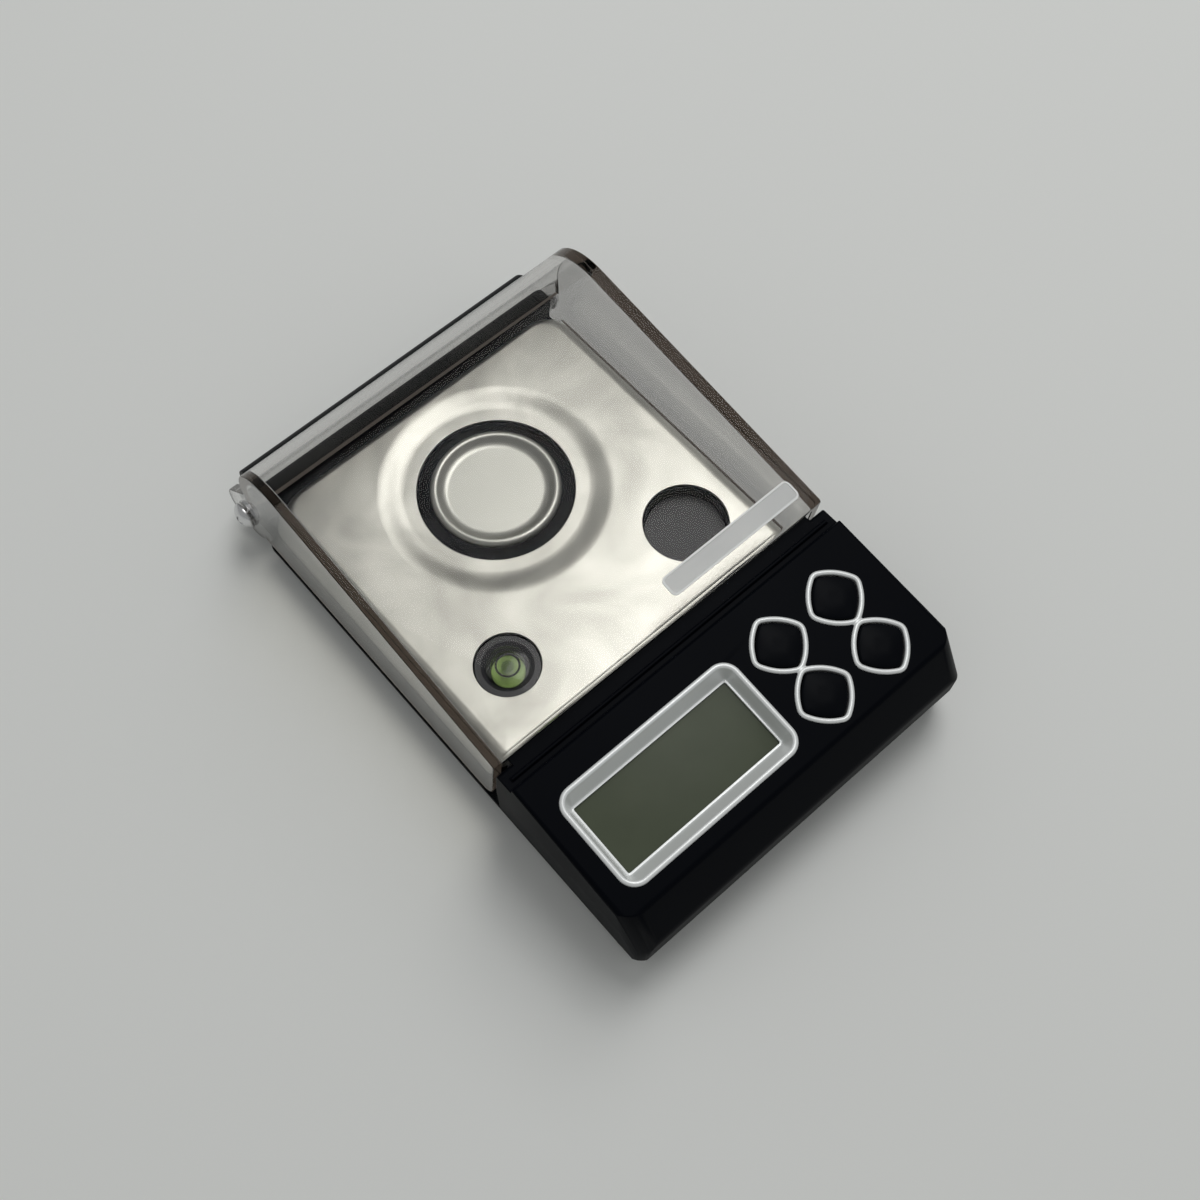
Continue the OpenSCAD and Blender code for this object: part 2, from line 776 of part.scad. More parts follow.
module board_screws() {
    color([0.7, 0.7, 0.7])
    on_panel()
    for (p = posts) {
        pin(p, 1.8, board_w0 - board_t - 1.2, board_w0 - board_t - 0.02);
        pin(p, 0.8, board_w0 - board_t - 0.5, board_w0 + 4.5);
    }
}

module tact_switches() {
    color([0.2, 0.2, 0.21])
    on_panel()
    for (i = [0 : 3])
        at_key(i)
            translate([0, 0, board_w0 + 0.02]) {
                translate([-3, -3, 0])
                    cube([6, 6, 3.4]);
                cylinder(r = 1.75, h = 4.2);
            }
}

module trim_pair(column) {
    on_panel()
    difference() {
        for (i = [2 * column, 2 * column + 1])
            at_key(i) {
                translate([0, 0, 0.02])
                    linear_extrude(0.45) {
                        diamond(0);
                        translate([0, (1 - 2 * key_pos[i][1]) * (key_dv / 2 - 0.4)])
                            square([2.4, 2.4], center = true);
                    }
                translate([0, 0, -panel_t + 0.2])
                    linear_extrude(panel_t)
                        diamond(0.6);
            }
        for (i = [2 * column, 2 * column + 1])
            at_key(i)
                translate([0, 0, -5])
                    linear_extrude(10)
                        diamond(trim_w);
    }
}

module trim_left() {
    color([0.85, 0.87, 0.88])
        trim_pair(0);
}

module trim_right() {
    color([0.85, 0.87, 0.88])
        trim_pair(1);
}

// cap with a crowned top, retaining flange under the panel and a stem over its switch
module key_cap(i) {
    color([0.07, 0.08, 0.13])
    on_panel()
    at_key(i) {
        intersection() {
            translate([0, 0, -panel_t - 1])
                linear_extrude(panel_t + 2)
                    diamond(trim_w + key_gap);
            translate([0, 0, -24.2])
                sphere(r = 25, $fn = 96);
        }
        translate([0, 0, -panel_t - 1])
            linear_extrude(0.7)
                diamond(0.6);
        translate([0, 0, -4.5])
            cylinder(r = 2, h = 3);
    }
}

module key_left_front() {
    key_cap(0);
}

module key_left_rear() {
    key_cap(1);
}

module key_right_front() {
    key_cap(2);
}

module key_right_rear() {
    key_cap(3);
}

module load_cell_block() {
    color([0.6, 0.61, 0.62])
    difference() {
        block(-cell_w / 2, cell_w / 2, cell_y0, cell_y0 + 14, floor_z + 0.02, cell_z - 0.02);
        for (y = cell_holes)
            pin([0, cell_y0 + y], 1.55, 0, cell_z + 1);
    }
}

// parallel-guide beam with the usual two-lobed flexure window
module load_cell() {
    mid = cell_y0 + cell_len / 2;
    color([0.75, 0.76, 0.77])
    difference() {
        block(-cell_w / 2, cell_w / 2, cell_y0, cell_y0 + cell_len, cell_z, cell_z + cell_h);
        along_x(cell_w)
            union() {
                for (s = [-1, 1])
                    translate([mid + s * flex_run, cell_z + cell_h / 2])
                        circle(r = cell_h / 2 - 0.6);
                translate([mid - flex_run, cell_z + cell_h / 2 - 0.8])
                    square([2 * flex_run, 1.6]);
            }
        for (y = cell_holes)
            pin([0, cell_y0 + y], 1.55, 0, 30);
    }
}

module load_cell_screws() {
    color([0.35, 0.36, 0.37])
    for (y = cell_holes)
        difference() {
            union() {
                pin([0, cell_y0 + y], 2.6, cell_z + cell_h + 0.02, cell_z + cell_h + 1.5);
                pin([0, cell_y0 + y], 1.5, bottom_z + 0.9, cell_z + cell_h + 1);
            }
            translate([0, cell_y0 + y, cell_z + cell_h + 0.7])
                cylinder(r = 1.4, h = 2, $fn = 6);
        }
}

module gauge_coating() {
    mid = cell_y0 + cell_len / 2;
    color([0.92, 0.92, 0.88])
    for (s = [-1, 1])
        block(-0.34 * cell_w, 0.34 * cell_w, mid + s * flex_run - gauge_half, mid + s * flex_run + gauge_half,
            cell_z + cell_h + 0.02, cell_z + cell_h + 0.4);
}

// flat lead from the beam to the underside of the board
module sensor_ribbon() {
    y = panel_y1 - 4;
    board_low = panel_at(y) + (board_w0 - board_t) / cos(panel_slope);
    color([0.85, 0.8, 0.7])
    along_x(2)
        rounded([[y - 0.15, cell_z + 2], [cell_y0 - 0.05, cell_z + 2], [cell_y0 - 0.05, cell_z + 2.3],
            [y + 0.15, cell_z + 2.3], [y + 0.15, board_low - 0.1], [y - 0.15, board_low - 0.1]],
            [0.15, 0, 0, 0, 0, 0]);
}

module overload_screw() {
    color([0.35, 0.36, 0.37])
    difference() {
        pin([0, pan_y], 1.5, bottom_z + 0.6, cell_z - pan_travel - 0.05);
        translate([0, pan_y, bottom_z])
            cylinder(r = 0.75, h = 1.6, $fn = 6);
    }
}

module pan_carrier() {
    color([0.7, 0.71, 0.72])
    translate([0, pan_y, 0])
        difference() {
            union() {
                pin([0, 0], 4.2, cell_z + cell_h + 0.02, cell_z + cell_h + 0.42);
                pin([0, 0], 2.5, cell_z + cell_h + 0.02, well_z + 1);
                pin([0, 0], 9.4, well_z + 0.8, well_z + 1.5);
            }
            for (a = [0 : 90 : 270])
                rotate(a)
                    pin([6.2, 0], 2, well_z, well_z + 3);
        }
}

// pressed pan: flat floor, flared wall, rolled bead rim
module weighing_pan() {
    z0 = well_z + 1.52;
    bead = (pan_r - pan_floor_r - 2) / 2;
    color([0.86, 0.85, 0.82])
    translate([0, pan_y, z0])
        rotate_extrude()
            union() {
                polygon([[0, 0], [pan_floor_r + 0.2, 0], [pan_r - bead, bead * 0.6],
                    [pan_r - bead, bead * 1.6], [pan_floor_r, pan_t], [0, pan_t]]);
                translate([pan_r - bead, bead * 0.75])
                    circle(r = bead);
            }
}

module hood_outer() {
    intersection() {
        along_x(half_w + 5)
            union() {
                rounded([[hood_y0 + 2, hood_low_z], [hood_y1, hood_low_z], [hood_y1, hood_at(hood_y1)],
                    [hood_y0, hood_front_z]], [4.5, 0, hood_rear_r, 0.8]);
                translate([pivot_y, pivot_z])
                    circle(r = ear_r);
                ear_link();
            }
        along_y(hood_y0 - 1, y_rear + 10)
            trapezoid(hood_w / 2 + hood_draft * 1.24, 0, hood_w / 2 - hood_draft * 0.09, 45);
    }
}

// web between the rear corner of the wall and the ear
module ear_link() {
    q = [hood_y1, pivot_z + 13];
    o = [pivot_y, pivot_z];
    a = atan2(q[1] - o[1], q[0] - o[0]) - acos(ear_r / norm(q - o));
    polygon([o, o + ear_r * [cos(a), sin(a)], q, [hood_y1 - 4, pivot_z + 6], [hood_y1 - 4, hood_low_z]]);
}

module hood() {
    color([0.75, 0.72, 0.66, 0.35])
    difference() {
        hood_outer();
        intersection() {
            along_x(half_w + 5)
                union() {
                    rounded([[hood_y0 - 8, -5], [hood_y1 - hood_t, -5],
                        [hood_y1 - hood_t, hood_at(hood_y1 - hood_t) - skin],
                        [hood_y0 - 8, hood_at(hood_y0 - 8) - skin]], [0, 0, hood_rear_r - hood_t, 0]);
                    translate([hood_y1 - 20, -5])
                        square([60, hood_edge_z + 5]);
                    translate([hood_y1, -5])
                        square([60, 60]);
                }
            along_y(hood_y0 - 9, y_rear + 40)
                trapezoid(hood_w / 2 + hood_draft * 1.24 - hood_t, 0,
                    hood_w / 2 - hood_draft * 0.09 - hood_t, 45);
        }
        translate([0, pivot_y, pivot_z])
            rotate([0, 90, 0])
                cylinder(r = 1.56, h = 4 * half_w, center = true);
    }
}

module hood_label() {
    y = hood_y0 + 6.1;
    color([0.95, 0.95, 0.95, 0.6])
    translate([hood_w / 2 - 21, y, hood_at(y)])
        rotate([hood_slope, 0, 0])
            translate([0, 0, 0.01])
                linear_extrude(0.25)
                    box2d(37, 5, 1.4);
}

module pivot_screws() {
    color([0.85, 0.85, 0.86])
    for (s = [-1, 1])
        translate([0, pivot_y, pivot_z])
            rotate([0, s * 90, 0])
                difference() {
                    union() {
                        translate([0, 0, rear_half - 7.5])
                            cylinder(r = 1.5, h = head_x - rear_half + 8);
                        intersection() {
                            translate([0, 0, head_x])
                                cylinder(r = 3.4, h = 2.4);
                            translate([0, 0, head_x - 1.8])
                                sphere(r = 4.2);
                        }
                    }
                    for (a = [0, 90])
                        rotate(a)
                            translate([-1.5, -0.3, head_x + 1.2])
                                cube([3, 0.6, 4]);
                }
}

module pivot_washers() {
    in_x = hood_w / 2 + hood_draft * 0.93 - hood_t;
    color([0.8, 0.8, 0.8])
    for (s = [-1, 1])
        translate([0, pivot_y, pivot_z])
            rotate([0, s * 90, 0])
                difference() {
                    translate([0, 0, rear_half + 0.05])
                        cylinder(r = 3.4, h = in_x - rear_half - 0.25);
                    cylinder(r = 1.55, h = 100);
                }
}

module battery_door() {
    color([0.08, 0.08, 0.09])
    difference() {
        union() {
            block(-door_w / 2, door_w / 2, door_y0, door_y1, bottom_z, bottom_z + 1.6);
            block(-door_w / 2 - 1.2, door_w / 2 + 1.2, door_y0 + 3, door_y1 - 2, bottom_z + 0.9,
                bottom_z + 1.6);
        }
        for (y = [0 : 3])
            block(-8 + y, 8 - y, door_y1 - 5 - 1.6 * y, door_y1 - 4.2 - 1.6 * y, bottom_z - 1,
                bottom_z + 0.5);
    }
}

module battery_cells() {
    color([0.2, 0.35, 0.3])
    for (i = [0, 1])
        translate([0, bay_y0 + 5.7 + 11.4 * i, floor_z + battery_d / 2 + 0.15])
            rotate([0, i == 0 ? 90 : -90, 0]) {
                translate([0, 0, -battery_len / 2])
                    cylinder(r = battery_d / 2, h = battery_len - 1);
                translate([0, 0, 0])
                    cylinder(r = 1.9, h = battery_len / 2);
            }
}

// sprung leaf at each end of each cell, with a tail up to the board
module battery_contacts() {
    gap = bay_half - battery_len / 2 - 0.15;
    color([0.8, 0.78, 0.7])
    for (s = [-1, 1])
        for (y = [5.7, 17.1])
            translate([s * bay_half, bay_y0 + y, 0])
                scale([s, 1, 1]) {
                    translate([-0.45, -3.5, floor_z + 1.6])
                        cube([0.4, 7, 8]);
                    translate([0, 0, floor_z + 3])
                        linear_extrude(4.6)
                            polygon([[-0.2, -3.2], [-gap, -0.6], [-gap, 0.6], [-0.2, 3.2], [-0.2, 2.7],
                                [0.35 - gap, 0.4], [0.35 - gap, -0.4], [-0.2, -2.7]]);
                    translate([-0.45, -1, floor_z + 9])
                        cube([0.4, 2, bay_z + 1.5 - floor_z - 9]);
                }
}

module rubber_feet() {
    color([0.1, 0.1, 0.1])
    for (p = mirrored(feet))
        translate([p[0], p[1], 0])
            rotate_extrude()
                rounded([[0, 0], [4.8, 0], [4.8, bottom_z + 0.55], [0, bottom_z + 0.55]], [0, 0.6, 0, 0]);
}

module case_screws() {
    color([0.3, 0.3, 0.31])
    for (p = mirrored(bosses))
        difference() {
            union() {
                pin(p, 2.3, bottom_z + 0.6, floor_z + 0.2);
                pin(p, 1.1, bottom_z + 1, parting_z + 5);
            }
            for (a = [0, 90])
                translate([p[0], p[1], bottom_z])
                    rotate(a)
                        translate([-1.4, -0.3, 0])
                            cube([2.8, 0.6, 1.2]);
        }
}

lower_housing();
upper_housing();
deck_plate();
level_cup();
level_vial();
level_fluid();
level_bubble();
level_ring();
lcd_bezel();
lcd_panel();
lcd_backlight();
zebra_strip();
main_board();
board_screws();
tact_switches();
trim_left();
trim_right();
key_left_front();
key_left_rear();
key_right_front();
key_right_rear();
load_cell_block();
load_cell();
load_cell_screws();
gauge_coating();
sensor_ribbon();
overload_screw();
pan_carrier();
weighing_pan();
hood();
hood_label();
pivot_screws();
pivot_washers();
battery_door();
battery_cells();
battery_contacts();
rubber_feet();
case_screws();
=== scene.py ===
import math

import bmesh
import bpy
from mathutils import Matrix, Vector
from mathutils.bvhtree import BVHTree


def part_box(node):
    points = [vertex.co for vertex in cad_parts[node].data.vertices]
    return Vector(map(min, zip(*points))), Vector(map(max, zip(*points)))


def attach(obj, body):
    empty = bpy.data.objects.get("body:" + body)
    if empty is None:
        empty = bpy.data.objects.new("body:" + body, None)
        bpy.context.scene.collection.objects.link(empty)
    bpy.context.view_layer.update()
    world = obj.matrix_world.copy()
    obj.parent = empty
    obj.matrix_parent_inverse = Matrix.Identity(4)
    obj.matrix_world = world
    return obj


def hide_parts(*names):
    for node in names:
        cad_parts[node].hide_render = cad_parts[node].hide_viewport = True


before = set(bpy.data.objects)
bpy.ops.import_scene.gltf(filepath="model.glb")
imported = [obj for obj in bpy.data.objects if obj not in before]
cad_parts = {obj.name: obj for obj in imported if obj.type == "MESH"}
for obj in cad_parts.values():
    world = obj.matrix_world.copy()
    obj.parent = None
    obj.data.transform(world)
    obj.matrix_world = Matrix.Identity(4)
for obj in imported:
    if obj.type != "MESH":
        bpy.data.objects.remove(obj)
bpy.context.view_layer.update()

# Lower housing: the tray that carries the feet, the cell bay and the load cell. One injection moulding in
# black ABS, spark-eroded outside, its edges left slightly soft by the mould. Screws draw it up to the
# console.
MM = 0.001
PLASTIC_DRIFT = 22.0
STRAY_SHARE = 0.45


def linear(hex_colour):
    """Linear RGBA of an sRGB hex colour."""
    parts = [int(hex_colour[i : i + 2], 16) / 255 for i in (1, 3, 5)]
    return (*[c / 12.92 if c <= 0.04045 else ((c + 0.055) / 1.055) ** 2.4 for c in parts], 1.0)


def add(tree, kind, settings=None, links=None):
    """A new node: settings go to its sockets, or else to its properties, and links feed its sockets."""
    made = tree.nodes.new(kind)
    for name, value in (settings or {}).items():
        if isinstance(name, int) or name in made.inputs:
            made.inputs[name].default_value = value
        else:
            setattr(made, name, value)
    for name, source in (links or {}).items():
        tree.links.new(source, made.inputs[name])
    return made


def blank(name):
    """A new material, its empty node tree and its Object coordinates."""
    made = bpy.data.materials.new(name)
    made.use_nodes = True
    made.node_tree.nodes.clear()
    return made, made.node_tree, add(made.node_tree, "ShaderNodeTexCoord").outputs["Object"]


def noise(tree, place, size_mm, detail, distortion=0.0):
    """A noise from 0 to 1 whose clumps are about that wide."""
    settings = {"Scale": 1 / (size_mm * MM), "Detail": detail, "Distortion": distortion}
    return add(tree, "ShaderNodeTexNoise", settings, {"Vector": place}).outputs[0]


def between(tree, value, low, high):
    """A value from 0 to 1 spread out from low to high."""
    return add(tree, "ShaderNodeMapRange", {"To Min": low, "To Max": high}, {"Value": value}).outputs[0]


def relief(tree, height, strength, depth_mm):
    """The normal of a surface with that fine height on it."""
    settings = {"Strength": strength, "Distance": depth_mm * MM}
    return add(tree, "ShaderNodeBump", settings, {"Height": height}).outputs[0]


def surface(tree, settings, links):
    """A Principled shader as the surface of the material."""
    shader = add(tree, "ShaderNodeBsdfPrincipled", settings, links)
    add(tree, "ShaderNodeOutputMaterial", {}, {"Surface": shader.outputs[0]})


def moulded(name, colour, gloss, grain_mm, depth_mm, ior=1.53, level=0.5):
    """A moulded plastic: one colour, a fine grain from the tool, and gloss that drifts over the surface."""
    made, tree, place = blank(name)
    grain = noise(tree, place, grain_mm, 3.0)
    drift = noise(tree, place, PLASTIC_DRIFT, 2.0)
    surface(
        tree,
        {"Base Color": linear(colour), "IOR": ior, "Specular IOR Level": level},
        {"Roughness": between(tree, drift, *gloss), "Normal": relief(tree, grain, 0.6, depth_mm)},
    )
    return made


def eased(node, width_mm, least=32, segments=2, covered=()):
    """A copy of a CAD node with round edges where they are sharper than least and no covered node hides them.

    Where edges lie close together the bevel can throw a point outwards. Any point farther from the old faces
    than STRAY_SHARE of the width goes back to them.
    """
    bm = bmesh.new()
    hidden = [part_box(name) for name in covered]
    bm.from_mesh(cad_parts[node].data)
    bmesh.ops.remove_doubles(bm, verts=bm.verts, dist=0.002 * MM)
    bmesh.ops.dissolve_limit(
        bm, angle_limit=math.radians(0.4), use_dissolve_boundaries=False, verts=bm.verts, edges=bm.edges
    )
    sharp = []
    for edge in bm.edges:
        middle = (edge.verts[0].co + edge.verts[1].co) / 2
        inside = any(all(lo[i] <= middle[i] <= hi[i] for i in range(3)) for lo, hi in hidden)
        if edge.is_manifold and edge.calc_face_angle() > math.radians(least) and not inside:
            sharp.append(edge)
    faces_before = BVHTree.FromBMesh(bm)
    bmesh.ops.bevel(
        bm,
        geom=sharp,
        offset=width_mm * MM,
        offset_type="OFFSET",
        affect="EDGES",
        segments=segments,
        profile=0.5,
        clamp_overlap=False,
        material=-1,
    )
    for vert in bm.verts:
        near, _, _, away = faces_before.find_nearest(vert.co)
        if away > STRAY_SHARE * width_mm * MM:
            vert.co = near
    return bm


def solid(name, bm, finish, crease=44):
    """An object of that mesh at the origin, with flat faces kept flat beside their eased edges."""
    mesh = bpy.data.meshes.new(name)
    bm.to_mesh(mesh)
    bm.free()
    mesh.materials.append(finish)
    mesh.shade_smooth()
    mesh.set_sharp_from_angle(angle=math.radians(crease))
    made = bpy.data.objects.new(name, mesh)
    bpy.context.scene.collection.objects.link(made)
    made.modifiers.new("flat_faces", "WEIGHTED_NORMAL").keep_sharp = True
    return made


abs_black = moulded("moulded_abs_black", "#15161a", (0.44, 0.56), 0.35, 0.012)
lower_shell = solid("lower_shell", eased("lower_housing", 0.2), abs_black)
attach(lower_shell, "base")
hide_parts("lower_housing")

# Battery door: a flat sliding cover in the same black ABS, with thumb grooves, that runs in two side lips of
# the tray. It is pulled forwards by hand.
door_cover = solid("door_cover", eased("battery_door", 0.18), abs_black)
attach(door_cover, "battery_door")
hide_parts("battery_door")

# Feet: four soft rubber pads, moulded as round discs with a rounded lower edge and a shallow hollow
# underneath, each glued into a round pocket of the tray.
FOOT_PLACES = [(38.0, -53.4, 0), (-38.0, -53.4, 0), (34.0, 58.9, 0), (-34.0, 58.9, 0)]
FOOT_SOLE = [(0, 0.35), (2.6, 0.35), (3.0, 0), (4.25, 0)]
FOOT_SIDE = [(4.63, 0.17), (4.8, 0.55), (4.8, 1.75), (0, 1.75)]


def turned(profile, steps=64):
    """A round piece about Z from (radius, height) points in millimetres, closed at its poles."""
    bm = bmesh.new()
    points = [bm.verts.new((r * MM, 0, z * MM)) for r, z in profile]
    edges = [bm.edges.new(pair) for pair in zip(points, points[1:])]
    bmesh.ops.spin(
        bm,
        geom=points + edges,
        cent=(0, 0, 0),
        axis=(0, 0, 1),
        angle=math.tau,
        steps=steps,
        use_merge=True,
    )
    bmesh.ops.remove_doubles(bm, verts=bm.verts, dist=0.001 * MM)
    bmesh.ops.recalc_face_normals(bm, faces=bm.faces)
    return bm


def copies(bm, places):
    """Moves the shape in bm to the first place in millimetres and repeats it at the others."""
    first = bm.verts[:]
    whole = first + bm.edges[:] + bm.faces[:]
    for place in places[1:]:
        made = bmesh.ops.duplicate(bm, geom=whole)["geom"]
        points = [v for v in made if isinstance(v, bmesh.types.BMVert)]
        bmesh.ops.translate(bm, vec=Vector(place) * MM, verts=points)
    bmesh.ops.translate(bm, vec=Vector(places[0]) * MM, verts=first)
    return bm


foot_rubber = moulded("moulded_rubber_black", "#1a1a1a", (0.72, 0.85), 0.6, 0.02, ior=1.5, level=0.35)
feet = solid("feet", copies(turned(FOOT_SOLE + FOOT_SIDE), FOOT_PLACES), foot_rubber)
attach(feet, "base")
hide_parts("rubber_feet")

# Cells and contacts: two small cylindrical cells in a bare printed sleeve, held between nickel-plated spring
# leaves. Out of sight behind the door.
METAL_DRIFT = 14.0


def metal(name, colour, gloss, grain_mm, depth_mm):
    """A bare metal whose finish shows as fine grain and gloss that drifts."""
    made, tree, place = blank(name)
    grain = noise(tree, place, grain_mm, 4.0)
    drift = noise(tree, place, METAL_DRIFT, 3.0)
    surface(
        tree,
        {"Base Color": linear(colour), "Metallic": 1.0},
        {"Roughness": between(tree, drift, *gloss), "Normal": relief(tree, grain, 0.5, depth_mm)},
    )
    return made


def finish_node(finish, *nodes):
    """Gives CAD nodes whose shape is already right their finish."""
    for name in nodes:
        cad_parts[name].material_slots[0].material = finish


finish_node(metal("plated_spring_strip", "#cfc9b8", (0.22, 0.34), 0.3, 0.004), "battery_contacts")
finish_node(moulded("printed_cell_sleeve", "#2c4a40", (0.2, 0.3), 1.2, 0.004), "battery_cells")

# Weighing cell: a machined aluminium beam on a spacer, two socket screws, white silicone over the gauges, a
# flat lead to the board and a stop screw under the free end.
machined = metal("machined_aluminium", "#c9cbcc", (0.28, 0.42), 0.25, 0.006)
blackened = metal("blackened_steel", "#3a3b3d", (0.3, 0.45), 0.3, 0.004)
silicone = moulded("cured_silicone_white", "#dedfd6", (0.35, 0.5), 0.8, 0.03, ior=1.41)
finish_node(machined, "load_cell", "load_cell_block", "pan_carrier")
finish_node(blackened, "load_cell_screws", "overload_screw", "case_screws")
finish_node(silicone, "gauge_coating")
finish_node(moulded("flat_lead_vinyl", "#cfc3a8", (0.4, 0.5), 0.6, 0.01), "sensor_ribbon")

# Electronics: a green glass-epoxy board on four posts behind the panel, its screws, the key switches, the
# white light guide and the striped elastomer that feeds the display.
light_guide = moulded("moulded_acrylic_white", "#e6e9e6", (0.15, 0.25), 1.0, 0.004, ior=1.49)
finish_node(moulded("solder_resist_green", "#1c6b35", (0.25, 0.35), 1.6, 0.02), "main_board")
finish_node(metal("zinc_plated_steel", "#b9bbbd", (0.25, 0.38), 0.3, 0.004), "board_screws")
finish_node(moulded("moulded_nylon_grey", "#2b2c2e", (0.4, 0.5), 0.5, 0.01), "tact_switches")
finish_node(light_guide, "lcd_backlight")
finish_node(moulded("striped_elastomer", "#c98a90", (0.5, 0.6), 0.4, 0.01), "zebra_strip")

# Upper housing: console, deck pedestal and hinge barrel in one moulding. ABS in black with a navy cast, satin
# from a fine tool texture, so the panel stays dark and only grazing faces turn grey. The floor of the weight
# recess has a coarser, greyer finish.
UNDER_RIMS = ["lcd_bezel", "trim_left", "trim_right", "deck_plate"]
RECESS_CENTRE = Vector((26.5, -7.4))
RECESS_FLOOR = 9.0
FACING_UP = 0.9
abs_navy = moulded("moulded_abs_navy_black", "#06080d", (0.36, 0.46), 0.25, 0.006, level=0.03)
recess_abs = moulded("moulded_abs_recess_floor", "#24252a", (0.4, 0.5), 0.25, 0.006)
upper_shell = eased("upper_housing", 0.25, covered=UNDER_RIMS)
for face in upper_shell.faces:
    aside = face.calc_center_median().xy / MM - RECESS_CENTRE
    if face.normal.z > FACING_UP and aside.length < RECESS_FLOOR:
        face.material_index = 1
console = solid("console", upper_shell, abs_navy)
console.data.materials.append(recess_abs)
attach(console, "base")
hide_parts("upper_housing")

# Display: a glass cell with a dark olive reflective polariser, unlit, seen at the bottom of a silver painted
# frame whose walls slope down to it. The frame clips into the panel and its rim stands proud.
PANEL_PLACE = Vector((0, -51.05, 28.8)) * MM
PANEL_SLOPE = math.radians(6.65)
PANEL = Matrix.Translation(PANEL_PLACE) @ Matrix.Rotation(PANEL_SLOPE, 4, "X")
SQUARE = [(-1, -1), (1, -1), (1, 1), (-1, 1)]
BEAD_ANGLES = [math.radians(d) for d in range(0, 181, 20)]
BEAD_BASE = 0.02
BEAD_RISE = 0.45
FLAKE_SIZE = 0.22
FRAME_PLACE = Vector((-17.8, -1.6, 0.0)) * MM
FRAME_MIDDLE = (23.35, 11.7, 3.55)
FRAME_BEAD_HALF = 0.65
FRAME_BEAD = [
    (*[size + FRAME_BEAD_HALF * math.cos(a) for size in FRAME_MIDDLE], BEAD_BASE + BEAD_RISE * math.sin(a))
    for a in BEAD_ANGLES
]
FRAME_LOOPS = [
    *FRAME_BEAD,
    (22.62, 10.93, 2.8, -0.15),
    (21.5, 9.05, 0.75, -3.12),
    (21.42, 8.92, 0.65, -3.2),
    (21.04, 8.54, 0.45, -3.2),
    (21.0, 8.5, 0.4, -3.26),
    (21.0, 8.5, 0.4, -3.7),
    (23.4, 11.75, 3.45, -3.7),
    (23.4, 11.75, 3.45, BEAD_BASE),
    FRAME_BEAD[0],
]


def grow(bm, edges):
    """Pulls one more row out of open edges: its edges, and its points, which still lie on the old row."""
    made = bmesh.ops.extrude_edge_only(bm, edges=edges)["geom"]
    row = [e for e in made if isinstance(e, bmesh.types.BMEdge)]
    return row, {v for e in row for v in e.verts}


def framed(loops):
    """A closed frame through rounded rectangles (half length, half width, corner, height) in millimetres."""
    bm = bmesh.new()
    long, wide, radius, height = loops[0]
    bm.faces.new([bm.verts.new((x * long, y * wide, height)) for x, y in SQUARE])
    bmesh.ops.bevel(
        bm, geom=bm.verts[:], offset=radius, affect="VERTICES", segments=10, profile=0.5, material=-1
    )
    bmesh.ops.delete(bm, geom=bm.faces[:], context="FACES_ONLY")
    edges = bm.edges[:]
    for step in loops[1:]:
        edges, points = grow(bm, edges)
        for vert in points:
            side = Vector((math.copysign(1, vert.co.x), math.copysign(1, vert.co.y)))
            turn = (vert.co.xy - Vector((side.x * (long - radius), side.y * (wide - radius)))) / radius
            vert.co.x = side.x * (step[0] - step[2]) + turn.x * step[2]
            vert.co.y = side.y * (step[1] - step[2]) + turn.y * step[2]
            vert.co.z = step[3]
        long, wide, radius, height = step
    bmesh.ops.remove_doubles(bm, verts=bm.verts, dist=0.001)
    bmesh.ops.scale(bm, vec=(MM, MM, MM), verts=bm.verts)
    bmesh.ops.recalc_face_normals(bm, faces=bm.faces)
    return bm


def ramp(tree, value, colours, stops=(0.0, 1.0)):
    """A colour between two, by a value from 0 to 1."""
    made = add(tree, "ShaderNodeValToRGB", {}, {"Fac": value})
    for element, colour, stop in zip(made.color_ramp.elements, colours, stops):
        element.position = stop
        element.color = linear(colour)
    return made.outputs[0]


silver, tree, place = blank("silver_flake_paint")
flake = add(tree, "ShaderNodeTexVoronoi", {"Scale": 1 / (FLAKE_SIZE * MM)}, {"Vector": place}).outputs[0]
surface(
    tree,
    {"Base Color": linear("#f1f3f2"), "Metallic": 0.4, "Coat Weight": 0.3, "Coat Roughness": 0.2},
    {"Roughness": between(tree, flake, 0.32, 0.46), "Normal": relief(tree, flake, 0.35, 0.006)},
)
rim = framed(FRAME_LOOPS)
rim.transform(PANEL @ Matrix.Translation(FRAME_PLACE))
display_frame = solid("display_frame", rim, silver, 35)
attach(display_frame, "base")
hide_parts("lcd_bezel")

polariser, tree, place = blank("display_glass_olive")
mottle = noise(tree, place, 9, 2.0)
surface(
    tree,
    {"Roughness": 0.16, "IOR": 1.52, "Specular IOR Level": 0.08},
    {"Base Color": ramp(tree, mottle, ("#4b5142", "#555b4b"))},
)
display_glass = solid("display_glass", eased("lcd_panel", 0.15), polariser)
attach(display_glass, "base")
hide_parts("lcd_panel")

